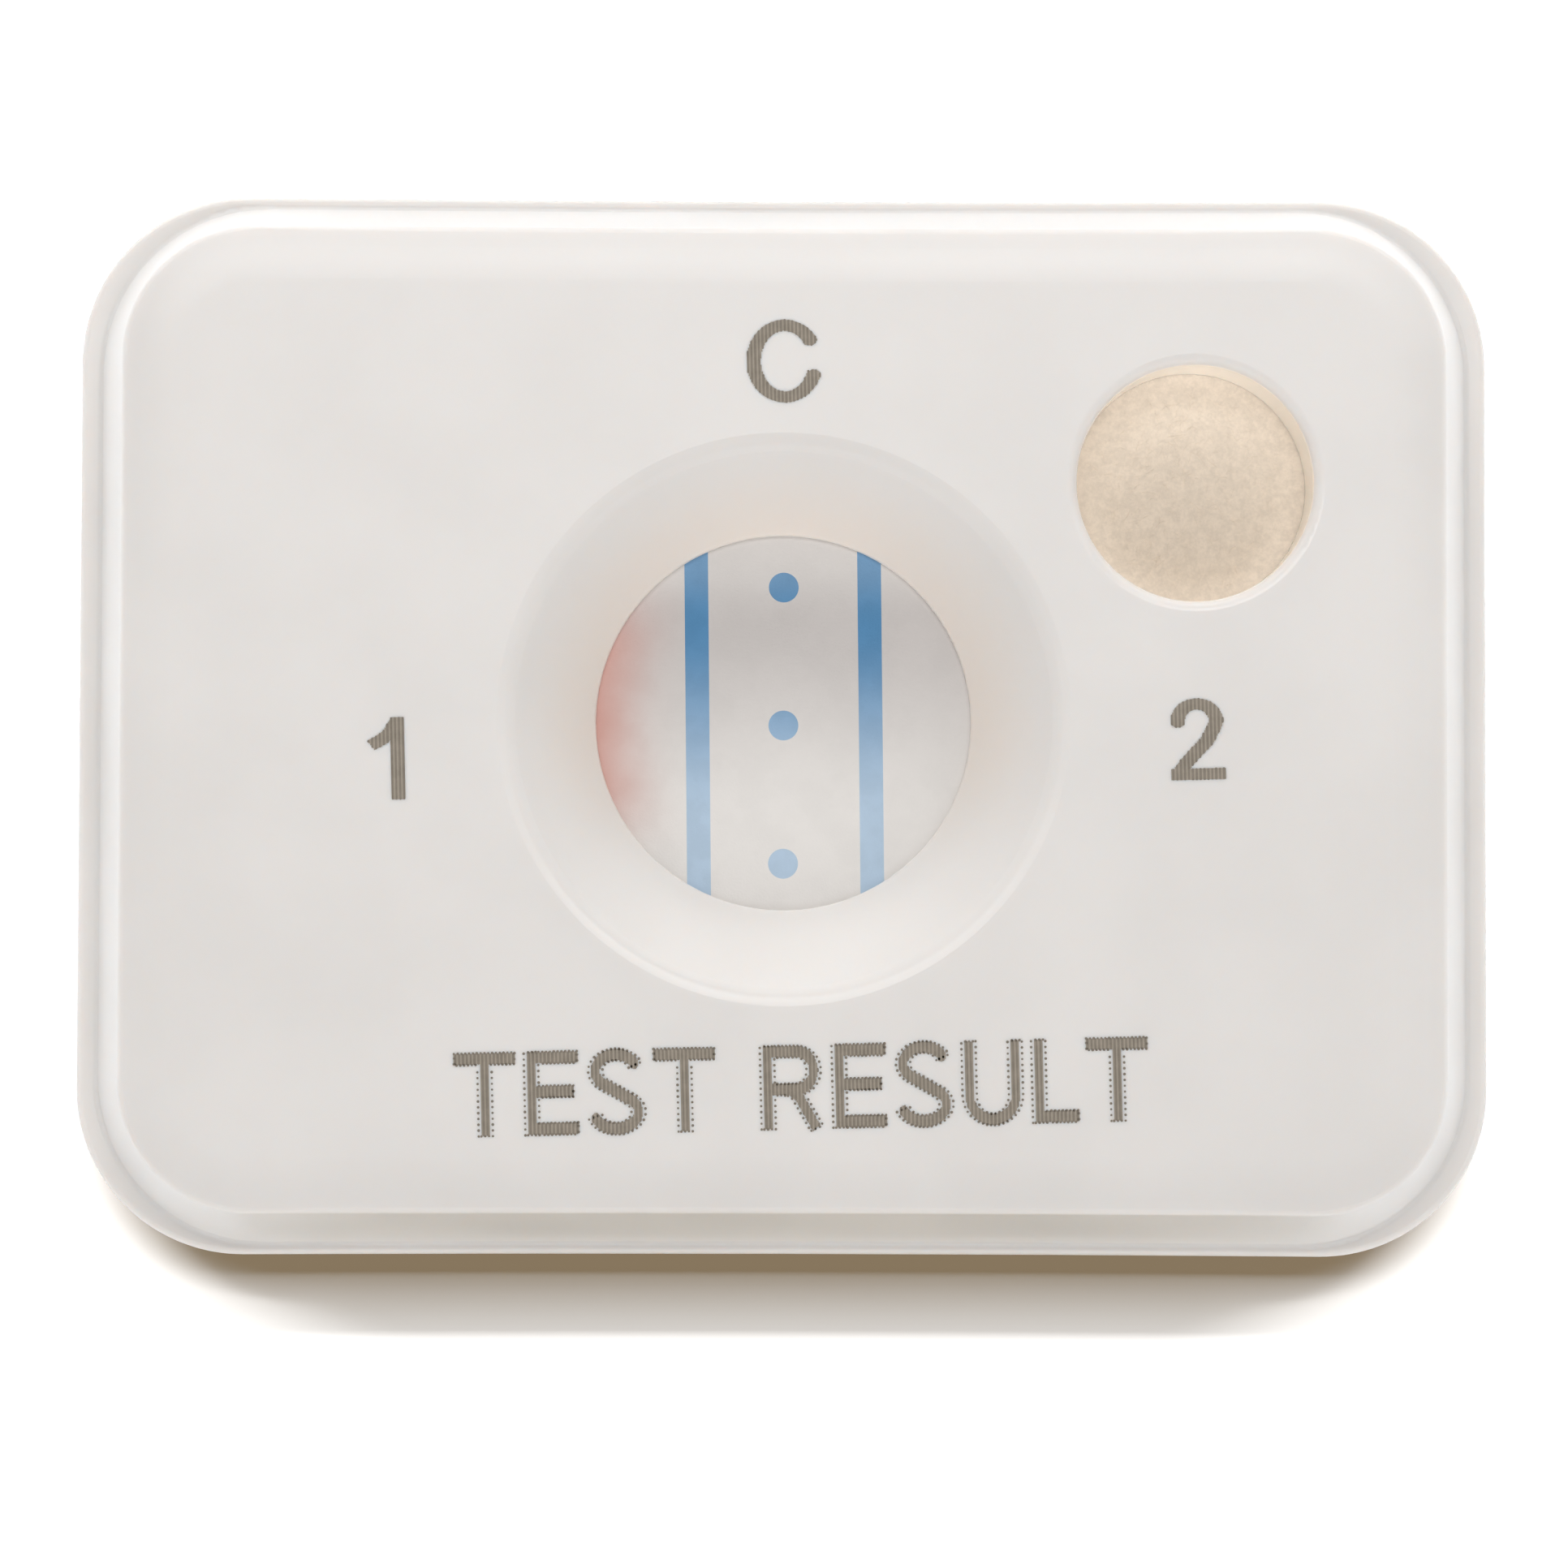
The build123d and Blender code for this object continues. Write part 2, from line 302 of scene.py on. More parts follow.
def membrane_paper():
    """Dull porous membrane, greyer where it is damp, with a pink stain at the far end of the window."""
    material, tree, shader = new_material("membrane")
    finish = place_group(tree, CLOUD_AND_GRAIN, Cloud_Size=1.6 * MM, Grain_Size=0.09 * MM)
    tone = blend_colours(tree, soak(tree, 0.5), colour(0.765, 0.735, 0.705), colour(0.574, 0.539, 0.52))
    tone = blend_colours(tree, stain_mask(tree, finish.outputs["Cloud"]), tone, colour(0.64, 0.35, 0.30))
    shade = between(tree, finish.outputs["Cloud"], 0.0, 1.0, 0.985, 1.015)
    feed(tree, scale_colour(tree, tone, shade), shader.inputs["Base Color"])
    shader.inputs["Roughness"].default_value = 0.85
    shader.inputs["Specular IOR Level"].default_value = 0.25
    bump(tree, shader, finish.outputs["Grain"], 0.25, 0.02 * MM)
    return material


def soak(tree, far_share):
    """How damp the strip is, from 0 to 1: most on the +Y side of the window's middle, less on both sides."""
    rise = place_group(tree, FADE, From=-4.6 * MM, To=4.2 * MM, Wander=1.0 * MM, Wander_Size=3.5 * MM)
    fall = place_group(tree, FADE, From=4.0 * MM, To=7.0 * MM, Wander=0.6 * MM, Wander_Size=3.5 * MM)
    kept = between(tree, fall.outputs["Fade"], 0.0, 1.0, 1.0, far_share)
    return calculate(tree, "MULTIPLY", rise.outputs["Fade"], kept)


def scale_colour(tree, tone, shade):
    """A colour made lighter or darker by a value."""
    node = add_node(tree, "ShaderNodeVectorMath", operation="SCALE")
    feed(tree, tone, node.inputs[0])
    feed(tree, shade, node.inputs["Scale"])
    return node.outputs[0]


def stain_mask(tree, cloud):
    """Where the pink stain lies: a crescent along the window's edge, on the side away from the well."""
    place = add_node(tree, "ShaderNodeTexCoord")
    axes = add_node(tree, "ShaderNodeSeparateXYZ")
    feed(tree, place.outputs["Object"], axes.inputs[0])
    reach = add_node(tree, "ShaderNodeVectorMath", operation="DISTANCE")
    feed(tree, place.outputs["Object"], reach.inputs[0])
    reach.inputs[1].default_value = (0.0, 0.0, MEMBRANE_HIGH.z)
    wander = calculate(tree, "MULTIPLY", cloud, 0.6 * MM)
    radius = calculate(tree, "SUBTRACT", reach.outputs["Value"], wander)
    near_edge = between(tree, radius, WINDOW_RADIUS - 4.6 * MM, WINDOW_RADIUS + 0.4 * MM)
    leftward = between(tree, axes.outputs["X"], -3.5 * MM, -8.3 * MM)
    from_middle = calculate(tree, "ABSOLUTE", calculate(tree, "SUBTRACT", axes.outputs["Y"], 0.3 * MM))
    midway = between(tree, from_middle, 2.5 * MM, 6.5 * MM, 1.0, 0.0)
    return calculate(tree, "MULTIPLY", calculate(tree, "MULTIPLY", near_edge, leftward), midway)


def reagent_blue():
    """Blue stain soaked into the membrane, strongest where the strip is damp."""
    material, tree, shader = new_material("reagent blue")
    finish = place_group(tree, CLOUD_AND_GRAIN, Cloud_Size=1.1 * MM, Grain_Size=0.09 * MM)
    tone = blend_colours(tree, soak(tree, 0.78), colour(0.445, 0.565, 0.695), colour(0.091, 0.245, 0.44))
    shade = between(tree, finish.outputs["Cloud"], 0.0, 1.0, 0.97, 1.03)
    feed(tree, scale_colour(tree, tone, shade), shader.inputs["Base Color"])
    shader.inputs["Roughness"].default_value = 0.85
    shader.inputs["Specular IOR Level"].default_value = 0.25
    bump(tree, shader, finish.outputs["Grain"], 0.25, 0.02 * MM)
    return material


def pad_fibre(name, soaked_tone, dry_tone, painted_rim_light_tone):
    """Matted fibre with soft speckle, deeper where drops have soaked it, and painted paler by the well's
    wall to lift the shade that the wall casts on it.
    """
    material, tree, shader = new_material(name)
    finish = place_group(tree, CLOUD_AND_GRAIN, Cloud_Size=0.36 * MM, Grain_Size=0.12 * MM)
    place = add_node(tree, "ShaderNodeTexCoord")
    reach = add_node(tree, "ShaderNodeVectorMath", operation="DISTANCE")
    feed(tree, place.outputs["Object"], reach.inputs[0])
    reach.inputs[1].default_value = (WELL_MIDDLE.x, WELL_MIDDLE.y, PAD_HIGH.z)
    dry = between(tree, reach.outputs["Value"], 0.8 * MM, 4.8 * MM)
    tone = blend_colours(tree, dry, soaked_tone, dry_tone)
    # Painted light: paler towards the well's wall, lifting the shade that the wall casts on the pad.
    painted_rim_light = between(tree, reach.outputs["Value"], 3.4 * MM, 4.9 * MM)
    tone = blend_colours(tree, painted_rim_light, tone, painted_rim_light_tone)
    cloud_shade = between(tree, finish.outputs["Cloud"], 0.0, 1.0, 0.955, 1.03)
    grain_shade = between(tree, finish.outputs["Grain"], 0.0, 1.0, 0.965, 1.025)
    shade = calculate(tree, "MULTIPLY", cloud_shade, grain_shade)
    feed(tree, scale_colour(tree, tone, shade), shader.inputs["Base Color"])
    shader.inputs["Roughness"].default_value = 0.95
    shader.inputs["Specular IOR Level"].default_value = 0.15
    bump(tree, shader, finish.outputs["Grain"], 0.3, 0.02 * MM)
    return material


def laser_mark(name, darker_tone, paler_tone):
    """Grey-brown mark burnt into white plastic."""
    material, tree, shader = new_material(name)
    finish = place_group(tree, CLOUD_AND_GRAIN, Cloud_Size=0.5 * MM, Grain_Size=0.08 * MM)
    tone = blend_colours(tree, finish.outputs["Cloud"], darker_tone, paler_tone)
    feed(tree, tone, shader.inputs["Base Color"])
    feed(tree, between(tree, finish.outputs["Grain"], 0.0, 1.0, 0.5, 0.75), shader.inputs["Roughness"])
    return material


def paint(node_name, material):
    """Gives a node of the model its finish."""
    mesh = frame["nodes"][node_name].data
    mesh.materials.clear()
    mesh.materials.append(material)


# Pieces


def new_piece(name, mesh_builder, materials):
    """Object from a finished bmesh, riding on the case."""
    mesh = bpy.data.meshes.new(name)
    mesh_builder.normal_update()
    mesh_builder.to_mesh(mesh)
    mesh_builder.free()
    piece = bpy.data.objects.new(name, mesh)
    bpy.context.scene.collection.objects.link(piece)
    for material in materials:
        mesh.materials.append(material)
    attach(piece, "root")
    return piece


def stations(low, high, step):
    """Evenly spaced places from low to high, about a step apart."""
    count = max(2, round((high - low) / step))
    return [low + (high - low) * number / count for number in range(count + 1)]


def tufted(x, y, seed, size, depth):
    """Hollow below a flat top, never above it, from matted fibres of a size."""
    coarse = noise.noise(Vector((x / size, y / size, seed)))
    fine = noise.noise(Vector((x / size * 3.1, y / size * 3.1, seed + 7.0)))
    return depth * (0.5 + 0.35 * coarse + 0.15 * fine)


def pad_body(low, high, lap_edge, lap_side, step, depth, seed):
    """Closed pad: tufted top, soft cut edges, and a step underneath where it laps over the membrane."""
    body = bmesh.new()
    xs = stations(low.x, high.x, step)
    ys = stations(low.y, high.y, step)
    lap_room = 0.06 * MM
    edge_round = 0.25 * MM
    tops = []
    bottoms = []
    for x in xs:
        over_membrane = (x - lap_edge) * lap_side < lap_room
        bottom = MEMBRANE_HIGH.z if over_membrane else low.z
        top_row = []
        bottom_row = []
        for y in ys:
            inset = min(x - low.x, high.x - x, y - low.y, high.y - y)
            roll = max(0.0, 1 - inset / edge_round) ** 2
            drop = tufted(x, y, seed, 0.3 * MM, depth) + roll * 0.12 * MM
            top_row.append(body.verts.new((x, y, high.z - drop)))
            bottom_row.append(body.verts.new((x, y, bottom)))
        tops.append(top_row)
        bottoms.append(bottom_row)
    last_x = len(xs) - 1
    last_y = len(ys) - 1
    for i in range(last_x):
        for j in range(last_y):
            body.faces.new((tops[i][j], tops[i + 1][j], tops[i + 1][j + 1], tops[i][j + 1]))
            body.faces.new((bottoms[i][j], bottoms[i][j + 1], bottoms[i + 1][j + 1], bottoms[i + 1][j]))
    for i in range(last_x):
        body.faces.new((bottoms[i][0], bottoms[i + 1][0], tops[i + 1][0], tops[i][0]))
        body.faces.new((bottoms[i + 1][last_y], bottoms[i][last_y], tops[i][last_y], tops[i + 1][last_y]))
    for j in range(last_y):
        body.faces.new((bottoms[0][j + 1], bottoms[0][j], tops[0][j], tops[0][j + 1]))
        body.faces.new((bottoms[last_x][j], bottoms[last_x][j + 1], tops[last_x][j + 1], tops[last_x][j]))
    for face in body.faces:
        face.smooth = True
    return body


def add_fibre(body, path, radius):
    """Thin closed three-sided fibre along a path."""
    rings = []
    for number, point in enumerate(path):
        ahead = path[min(number + 1, len(path) - 1)]
        behind = path[max(number - 1, 0)]
        along = (ahead - behind).normalized()
        side = along.cross(Vector((0, 0, 1))).normalized()
        rise = side.cross(along)
        ring = []
        for corner in range(3):
            angle = math.tau * corner / 3
            ring.append(body.verts.new(point + radius * (math.cos(angle) * side + math.sin(angle) * rise)))
        rings.append(ring)
    for first, second in zip(rings, rings[1:]):
        for corner in range(3):
            after = (corner + 1) % 3
            body.faces.new((first[corner], second[corner], second[after], first[after]))
    body.faces.new(rings[0])
    body.faces.new(list(reversed(rings[-1])))


def well_fibres(body, count, seed):
    """Loose fibres on the pad, where the well lays it open."""
    draw = random.Random(seed)
    reach = WELL_RADIUS - 0.3 * MM
    for _ in range(count):
        length = draw.uniform(0.4, 1.1) * MM
        radius = draw.uniform(0.006, 0.012) * MM
        spread = (reach - length / 2) * math.sqrt(draw.random())
        around = draw.uniform(0, math.tau)
        x = WELL_MIDDLE.x + spread * math.cos(around)
        y = WELL_MIDDLE.y + spread * math.sin(around)
        middle = Vector((x, y, 0))
        heading = draw.uniform(0, math.tau)
        bend = draw.uniform(-0.9, 0.9)
        height = PAD_HIGH.z - draw.uniform(0.013, 0.03) * MM
        path = []
        for share in (-0.5, -0.25, 0.0, 0.25, 0.5):
            turned = heading + bend * share
            place = middle + length * share * Vector((math.cos(turned), math.sin(turned), 0))
            place.z = height - 0.02 * MM * (2 * share) ** 2
            path.append(place)
        add_fibre(body, path, radius)


def make_pads():
    """The wicking pad under the well and the absorbing pad at the other end, as matted fibre."""
    soaked = colour(0.80, 0.70, 0.585)
    # Its last tone is painted light for the pad's edge by the well's wall.
    cream = pad_fibre("wicking fibre", soaked, colour(0.845, 0.75, 0.635), colour(0.97, 0.87, 0.75))
    paper = colour(0.86, 0.84, 0.80)
    white = pad_fibre("absorbing fibre", colour(0.82, 0.80, 0.76), paper, paper)
    body = pad_body(PAD_LOW, PAD_HIGH, MEMBRANE_HIGH.x, 1, 0.12 * MM, 0.04 * MM, 3.0)
    well_fibres(body, 1100, 11)
    wicking = new_piece("wicking_pad", body, [cream])
    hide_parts("sample_pad")
    body = pad_body(SINK_LOW, SINK_HIGH, MEMBRANE_LOW.x, -1, 0.3 * MM, 0.12 * MM, 9.0)
    absorbing = new_piece("absorbing_pad", body, [white])
    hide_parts("absorbent_pad")


# Laser marks: capitals and figures drawn with an oval pen that has square ends, in millimetres

CAP_HEIGHT = 3.42
HALF_WIDE = 0.295
HALF_HIGH = 0.24
CORE_WIDE = 0.175
LETTER_GAP = 0.38
WORD_GAP = 1.5
DOT_RADIUS = 0.055
DOT_PITCH = 0.158
UPRIGHT_DOT_PITCH = 0.24
FILL_PITCH = 0.05
HATCH_PITCH = 0.158
HATCH_WIDTH = 0.09
HATCH_REACH = 0.025
FILL_RISE = 0.003
HATCH_RISE = 0.004
MARK_SINK = 0.004
MARK_TURN = math.radians(1.55)
MARKS_X = 0.35
CONTROL_Y = 14.85
FIGURES_Y = -1.26
FIGURES_APART = 33.5
WORDS_Y = -15.22


def arc(centre, radii, start, end):
    """Points along part of an ellipse, between two angles in degrees."""
    count = max(4, round(abs(end - start) / 6))
    points = []
    for number in range(count + 1):
        angle = math.radians(start + (end - start) * number / count)
        points.append((centre[0] + radii[0] * math.cos(angle), centre[1] + radii[1] * math.sin(angle)))
    return points


def letter_c():
    return 3.08, [arc((1.585, CAP_HEIGHT / 2), (1.29, 1.495), 29, 342)]


def figure_1():
    stem = 1.1
    flag = [(0.0, 2.28), (0.43, 2.49), (0.78, 2.76), (1.05, 3.2)]
    return 1.4, [[(stem, 0), (stem, CAP_HEIGHT)], flag]


def figure_2():
    foot = 0.26
    bowl = arc((1.09, 2.49), (0.785, 0.68), 190, -25)
    tail = [(1.49, 1.63), (0.96, 1.10), (0.63, 0.75), (0.39, 0.44), (0.31, foot)]
    return 2.22, [bowl + tail, [(0, foot), (2.22, foot)]]


def letter_t():
    width = 2.5
    bar = CAP_HEIGHT - HALF_HIGH
    return width, [[(0, bar), (width, bar)], [(width / 2, 0), (width / 2, bar)]]


def letter_e():
    width = 2.2
    stem = HALF_WIDE
    bars = [(HALF_HIGH, width), (CAP_HEIGHT * 0.52, width - 0.18), (CAP_HEIGHT - HALF_HIGH, width)]
    return width, [[(stem, 0), (stem, CAP_HEIGHT)]] + [[(stem, y), (end, y)] for y, end in bars]


def letter_s():
    width = 2.4
    radii = (width / 2 - HALF_WIDE, 0.68)
    top = CAP_HEIGHT + 0.06 - HALF_HIGH - radii[1]
    bottom = HALF_HIGH - 0.06 + radii[1]
    upper = arc((width / 2, top), (radii[0] - 0.06, radii[1]), 20, 235)
    lower = arc((width / 2, bottom), radii, 55, -165)
    return width, [upper + lower]


def letter_r():
    width = 2.58
    stem = HALF_WIDE
    waist = 1.62
    top = CAP_HEIGHT - HALF_HIGH
    bowl_radius = (top - waist) / 2
    bowl = arc((1.5, waist + bowl_radius), (0.7, bowl_radius), 90, -90)
    leg = [(1.2, waist), (1.55, 1.35), (width - 0.3, 0)]
    return width, [[(stem, 0), (stem, CAP_HEIGHT)], [(stem, top)] + bowl + [(stem, waist)], leg]


def letter_u():
    width = 2.5
    radii = (width / 2 - HALF_WIDE, 1.0)
    bottom = HALF_HIGH - 0.06 + radii[1]
    bowl = arc((width / 2, bottom), radii, 180, 360)
    return width, [[(HALF_WIDE, CAP_HEIGHT)] + bowl + [(width - HALF_WIDE, CAP_HEIGHT)]]


def letter_l():
    width = 1.9
    return width, [[(HALF_WIDE, 0), (HALF_WIDE, CAP_HEIGHT)], [(HALF_WIDE, HALF_HIGH), (width, HALF_HIGH)]]


GLYPHS = {
    "C": letter_c,
    "1": figure_1,
    "2": figure_2,
    "T": letter_t,
    "E": letter_e,
    "S": letter_s,
    "R": letter_r,
    "U": letter_u,
    "L": letter_l,
}


def covered(strokes, xs, ys, wide, high):
    """Which points of a grid lie inside strokes of a pen with these half sizes."""
    grid_x, grid_y = np.meshgrid(np.array(xs) / wide, np.array(ys) / high, indexing="ij")
    inside = np.zeros(grid_x.shape, bool)
    for stroke in strokes:
        last = len(stroke) - 2
        for number, (start, end) in enumerate(zip(stroke, stroke[1:])):
            from_x = grid_x - start[0] / wide
            from_y = grid_y - start[1] / high
            run_x = (end[0] - start[0]) / wide
            run_y = (end[1] - start[1]) / high
            share = (from_x * run_x + from_y * run_y) / (run_x ** 2 + run_y ** 2)
            near = np.clip(share, 0, 1)
            touched = np.hypot(from_x - near * run_x, from_y - near * run_y) < 1
            if number == 0:
                touched &= share >= 0
            if number == last:
                touched &= share <= 1
            inside |= touched
    return inside


def upright_runs(strokes, width, pitch, wide):
    """Upright runs inside a glyph: x, lower end and upper end of each, and their spacing."""
    xs = stations(-0.1, width + 0.1, pitch)
    ys = stations(-0.4, CAP_HEIGHT + 0.4, 0.02)
    runs = []
    for x, column in zip(xs, covered(strokes, xs, ys, wide, HALF_HIGH)):
        turns = np.flatnonzero(np.diff(np.concatenate(([0], column.astype(int), [0]))))
        for first, after in zip(turns[::2], turns[1::2]):
            if after - first > 3:
                runs.append((x, ys[first], ys[after - 1]))
    return runs, xs[1] - xs[0]


def stroke_border(stroke):
    """Closed border of a pen stroke: one side, an end, the other side and the other end."""
    left = []
    right = []
    last = len(stroke) - 1
    for number, point in enumerate(stroke):
        ahead = Vector(stroke[min(number + 1, last)])
        behind = Vector(stroke[max(number - 1, 0)])
        run = (ahead - behind).normalized()
        across = Vector((-run.y * HALF_WIDE, run.x * HALF_HIGH))
        left.append(Vector(point) + across)
        right.append(Vector(point) - across)
    return left + right[::-1] + [left[0]]


def along_border(border):
    """Places along a closed border, farther apart where it runs upright."""
    places = []
    walked = 0.0
    due = 0.0
    for start, end in zip(border, border[1:]):
        length = (end - start).length
        while length and due <= walked + length:
            places.append(start.lerp(end, (due - walked) / length))
            upright = abs(end.y - start.y) / length
            due += DOT_PITCH + (UPRIGHT_DOT_PITCH - DOT_PITCH) * upright
        walked += length
    return places


def border_dots(strokes):
    """Centres of the dots round a glyph, without those inside another stroke or on top of another dot."""
    dots = []
    for stroke in strokes:
        others = [other for other in strokes if other is not stroke]
        for place in along_border(stroke_border(stroke)):
            hidden = covered(others, [place.x], [place.y], HALF_WIDE - 0.03, HALF_HIGH - 0.03).any()
            crowded = any((place - dot).length < 0.11 for dot in dots)
            if not hidden and not crowded:
                dots.append(place)
    return dots


def add_prism(body, outline, rise, finish):
    """Thin closed prism on the panel, over an outline in millimetres in the marks' own frame."""
    turn = Matrix.Rotation(MARK_TURN, 2)
    places = [turn @ Vector(point) * MM for point in outline]
    low = PANEL_TOP - MARK_SINK * MM
    high = PANEL_TOP + rise * MM
    lower = [body.verts.new((place.x, place.y, low)) for place in places]
    upper = [body.verts.new((place.x, place.y, high)) for place in places]
    faces = [body.faces.new(upper), body.faces.new(lower[::-1])]
    for number in range(len(outline)):
        after = (number + 1) % len(outline)
        faces.append(body.faces.new((lower[number], lower[after], upper[after], upper[number])))
    for face in faces:
        face.material_index = finish


def burn_glyph(body, letter, left, bottom, dotted, draw):
    """Burns a glyph's fill, its darker hatch lines and, if asked, dots round it. Returns its width."""
    width, strokes = GLYPHS[letter]()
    core = CORE_WIDE if dotted else HALF_WIDE
    runs, spacing = upright_runs(strokes, width, FILL_PITCH, core)
    half = spacing / 2
    for x, start, end in runs:
        x += left
        low = bottom + start
        high = bottom + end
        add_prism(body, [(x - half, low), (x + half, low), (x + half, high), (x - half, high)], FILL_RISE, 0)
    runs, spacing = upright_runs(strokes, width, HATCH_PITCH, core)
    for x, start, end in runs:
        half = HATCH_WIDTH * draw.uniform(0.85, 1.15) / 2
        x += left
        low = bottom + start - HATCH_REACH * draw.uniform(0, 1)
        high = bottom + end + HATCH_REACH * draw.uniform(0, 1)
        tip = 0.5 * half
        foot = [(x - half, low + half), (x - tip, low), (x + tip, low), (x + half, low + half)]
        head = [(x + half, high - half), (x + tip, high), (x - tip, high), (x - half, high - half)]
        add_prism(body, foot + head, HATCH_RISE, 1)
    if dotted:
        for dot in border_dots(strokes):
            radius = DOT_RADIUS * draw.uniform(0.85, 1.15)
            x = left + dot.x
            y = bottom + dot.y
            angles = [math.tau * corner / 8 for corner in range(8)]
            outline = [(x + radius * math.cos(angle), y + radius * math.sin(angle)) for angle in angles]
            add_prism(body, outline, HATCH_RISE, 1)
    return width


def line_width(words):
    """Length of a line of words."""
    width = -LETTER_GAP
    for letter in words:
        width += WORD_GAP if letter == " " else GLYPHS[letter]()[0] + LETTER_GAP
    return width


def burn_line(name, words, middle_x, middle_y, dotted, materials, seed):
    """One mark on the panel: a line of words about a middle."""
    body = bmesh.new()
    draw = random.Random(seed)
    left = middle_x - line_width(words) / 2
    bottom = middle_y - CAP_HEIGHT / 2
    for letter in words:
        if letter == " ":
            left += WORD_GAP
        else:
            left += burn_glyph(body, letter, left, bottom, dotted, draw) + LETTER_GAP
    return new_piece(name, body, materials)


def make_marks():
    """Control and line marks, and a plain caption under the window."""
    fill = laser_mark("laser fill", colour(0.255, 0.222, 0.178), colour(0.295, 0.255, 0.205))
    hatch = laser_mark("laser hatch", colour(0.165, 0.138, 0.105), colour(0.20, 0.168, 0.13))
    materials = [fill, hatch]
    burn_line("mark_control", "C", MARKS_X, CONTROL_Y, False, materials, 1)
    burn_line("mark_line_1", "1", MARKS_X - FIGURES_APART / 2, FIGURES_Y, False, materials, 2)
    burn_line("mark_line_2", "2", MARKS_X + FIGURES_APART / 2, FIGURES_Y, False, materials, 3)
    burn_line("mark_caption", "TEST RESULT", MARKS_X, WORDS_Y, True, materials, 4)


# Stage


def make_floor():
    """Pale floor that stays white beside the object, keeps its shadow and is clear from beneath."""
    half = FLOOR_HALF
    corners = [(-half, -half), (half, -half), (half, half), (-half, half)]
    mesh = bpy.data.meshes.new("floor")
    mesh.from_pydata([(x, y, FLOOR_LIFT) for x, y in corners], [], [(0, 1, 2, 3)])
    floor = bpy.data.objects.new("floor", mesh)
    bpy.context.scene.collection.objects.link(floor)
    material, tree, shader = new_material("floor")
    path = add_node(tree, "ShaderNodeLightPath")
    shown = calculate(tree, "MAXIMUM", path.outputs["Is Camera Ray"], path.outputs["Is Transmission Ray"])
    place = add_node(tree, "ShaderNodeNewGeometry")
    axes = add_node(tree, "ShaderNodeSeparateXYZ")
    feed(tree, place.outputs["Position"], axes.inputs[0])
    # Painted shade for bounced light: the floor's bounce colour is darkest on the -Y side, where the
    # object's shadow falls, and palest at the ends.
    ahead = between(tree, axes.outputs["Y"], -20 * MM, 20 * MM)
    beside = between(tree, calculate(tree, "ABSOLUTE", axes.outputs["X"]), 18 * MM, 27 * MM)
    bounce = blend_colours(tree, ahead, colour(*FLOOR_BOUNCE_MINUS_Y), colour(*FLOOR_BOUNCE_PLUS_Y))
    bounce = blend_colours(tree, beside, bounce, colour(*FLOOR_BOUNCE_ENDS))
    feed(tree, blend_colours(tree, shown, bounce, colour(*FLOOR_COLOUR)), shader.inputs["Base Color"])
    shader.inputs["Roughness"].default_value = 1.0
    shader.inputs["Specular IOR Level"].default_value = 0.0
    reach = add_node(tree, "ShaderNodeVectorMath", operation="LENGTH")
    feed(tree, place.outputs["Position"], reach.inputs[0])
    away = between(tree, reach.outputs["Value"], FLOOR_WHITE_FROM, FLOOR_WHITE_TO)
    # Painted warm bounce light in the shadow by the object, white farther out.
    glow = blend_colours(tree, away, colour(*FLOOR_GLOW), colour(1.0, 1.0, 1.0))
    feed(tree, glow, shader.inputs["Emission Color"])
    feed(tree, shown, shader.inputs["Emission Strength"])
    clear = add_node(tree, "ShaderNodeBsdfTransparent")
    choice = add_node(tree, "ShaderNodeMixShader")
    feed(tree, place.outputs["Backfacing"], choice.inputs[0])
    feed(tree, shader.outputs[0], choice.inputs[1])
    feed(tree, clear.outputs[0], choice.inputs[2])
    feed(tree, choice.outputs[0], tree.nodes["Material Output"].inputs["Surface"])
    mesh.materials.append(material)
    return floor


def make_dome():
    """World that shows as white and lights the object by a low bank towards +Y and a high one towards -Y."""
    world = bpy.data.worlds.new("dome")
    bpy.context.scene.world = world
    world.use_nodes = True
    tree = world.node_tree
    background = tree.nodes["Background"]
    place = add_node(tree, "ShaderNodeTexCoord")
    axes = add_node(tree, "ShaderNodeSeparateXYZ")
    feed(tree, place.outputs["Generated"], axes.inputs[0])
    height = axes.outputs["Z"]
    plus_y = calculate(tree, "MAXIMUM", axes.outputs["Y"], 0.0)
    minus_y = calculate(tree, "MAXIMUM", calculate(tree, "MULTIPLY", axes.outputs["Y"], -1.0), 0.0)
    rise = between(tree, height, *LOW_BANK_RISE)
    fall = between(tree, height, *LOW_BANK_FALL, 1.0, 0.0)
    low_bank = calculate(tree, "MULTIPLY", rise, fall)
    high_bank = between(tree, height, *HIGH_BANK_RISE)
    level = between(tree, height, -0.05, 0.0, DOME_UNDER, 0.0)
    for side, bank, strength in ((plus_y, low_bank, BANK_PLUS_Y), (minus_y, high_bank, BANK_MINUS_Y)):
        part = calculate(tree, "MULTIPLY", calculate(tree, "MULTIPLY", side, bank), strength)
        level = calculate(tree, "ADD", part, level)
    path = add_node(tree, "ShaderNodeLightPath")
    shown = calculate(tree, "MAXIMUM", path.outputs["Is Camera Ray"], path.outputs["Is Glossy Ray"])
    shown = calculate(tree, "MAXIMUM", shown, path.outputs["Is Transmission Ray"])
    mix = add_node(tree, "ShaderNodeMix", data_type="FLOAT")
    feed(tree, shown, mix.inputs["Factor"])
    feed(tree, level, mix.inputs["A"])
    feed(tree, 1.0, mix.inputs["B"])
    feed(tree, mix.outputs["Result"], background.inputs["Strength"])
    background.inputs["Color"].default_value = colour(1.0, 1.0, 1.0)


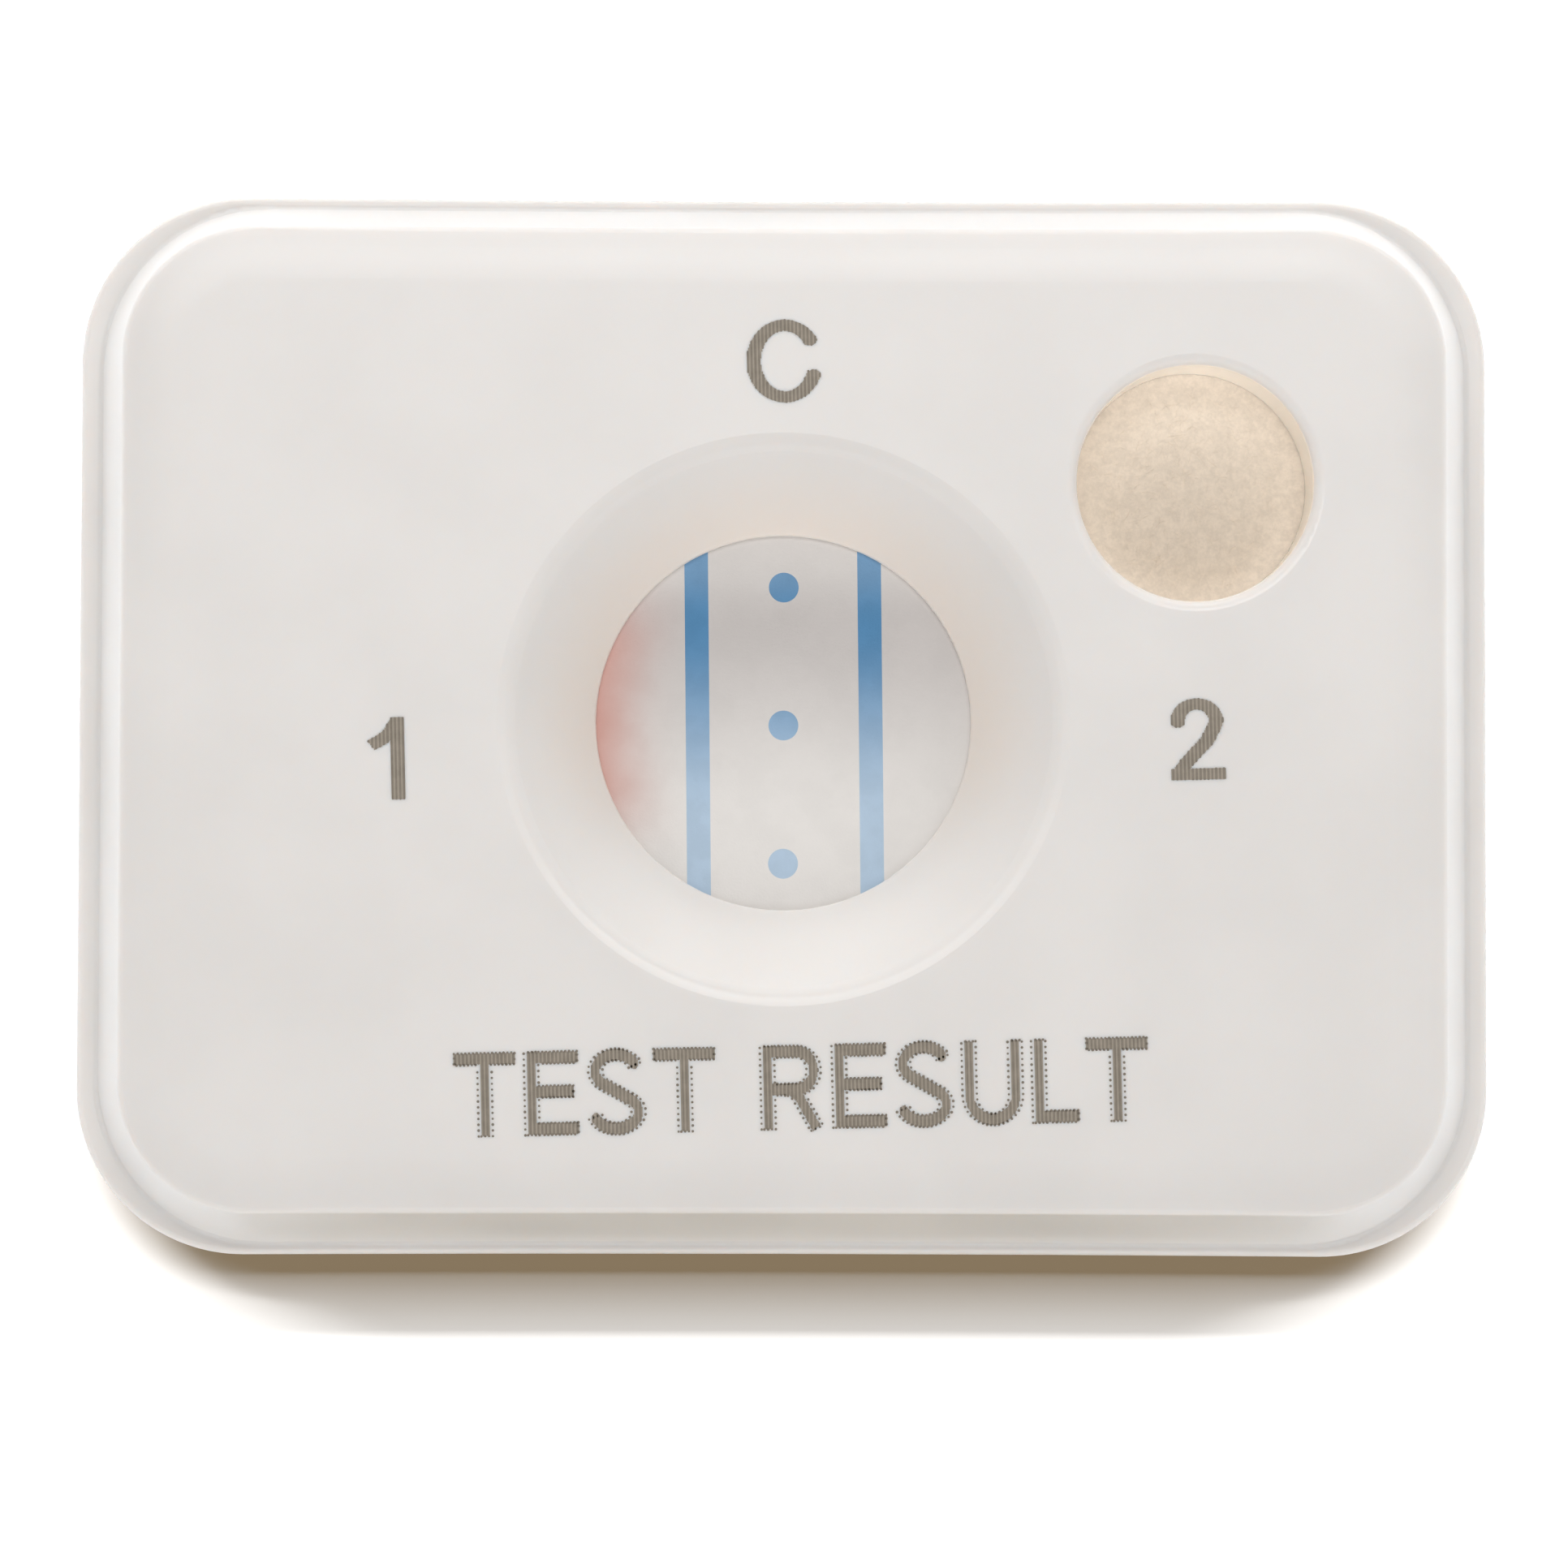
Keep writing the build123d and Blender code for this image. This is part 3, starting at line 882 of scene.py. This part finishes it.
def make_lamp(name, angle, length, width, power):
    """Soft lamp on the +Y side, at an angle from overhead, turned towards the object."""
    lamp = bpy.data.lights.new(name, "AREA")
    lamp.shape = "RECTANGLE"
    lamp.size = length
    lamp.size_y = width
    lamp.energy = power
    holder = bpy.data.objects.new(name, lamp)
    holder.location = LAMP_DISTANCE * Vector((0, math.sin(angle), math.cos(angle)))
    holder.rotation_euler = (-angle, 0, 0)
    bpy.context.scene.collection.objects.link(holder)
    return holder


def make_lamps(floor):
    """Key lamp for everything, and two lamps that light only the floor."""
    make_lamp("key lamp", KEY_ANGLE, KEY_LENGTH, KEY_WIDTH, KEY_POWER)
    only_floor = bpy.data.collections.new("lit by the floor lamps")
    only_floor.objects.link(floor)
    shadow_lamps = [
        ("foot shadow lamp", FOOT_SHADOW_ANGLE, FOOT_SHADOW_WIDTH, FOOT_SHADOW_POWER, FOOT_SHADOW_COLOUR),
        ("far shadow lamp", FAR_SHADOW_ANGLE, FAR_SHADOW_WIDTH, FAR_SHADOW_POWER, FAR_SHADOW_COLOUR),
    ]
    for name, angle, width, power, tint in shadow_lamps:
        lamp = make_lamp(name, angle, FLOOR_LAMP_LENGTH, width, power)
        lamp.data.color = tint
        lamp.light_linking.receiver_collection = only_floor


def make_camera():
    """Camera above the panel, with +Y up in the picture."""
    camera = bpy.data.cameras.new("camera")
    camera.sensor_width = SENSOR_WIDTH
    camera.lens = SENSOR_WIDTH * CAMERA_DISTANCE / VIEW_WIDTH
    camera.clip_start = 1 * MM
    holder = bpy.data.objects.new("camera", camera)
    holder.rotation_mode = "ZYX"
    turn = Euler((CAMERA_TILT, CAMERA_YAW, CAMERA_ROLL), "ZYX")
    holder.rotation_euler = turn
    holder.location = CAMERA_TARGET + CAMERA_DISTANCE * (turn.to_matrix() @ Vector((0, 0, 1)))
    bpy.context.scene.collection.objects.link(holder)
    bpy.context.scene.camera = holder


def dress_model():
    """Finishes of the nodes that keep their own mesh."""
    plastic = case_plastic()
    blue = reagent_blue()
    finishes = {
        "upper_shell": plastic,
        "lower_shell": plastic,
        "backing_card": card_film(),
        "test_membrane": membrane_paper(),
        "test_line_1": blue,
        "test_line_2": blue,
        "control_dots": blue,
    }
    for node_name, material in finishes.items():
        paint(node_name, material)


make_camera()
make_dome()
make_lamps(make_floor())
dress_model()
make_pads()
make_marks()
bpy.context.scene.view_settings.view_transform = "Standard"
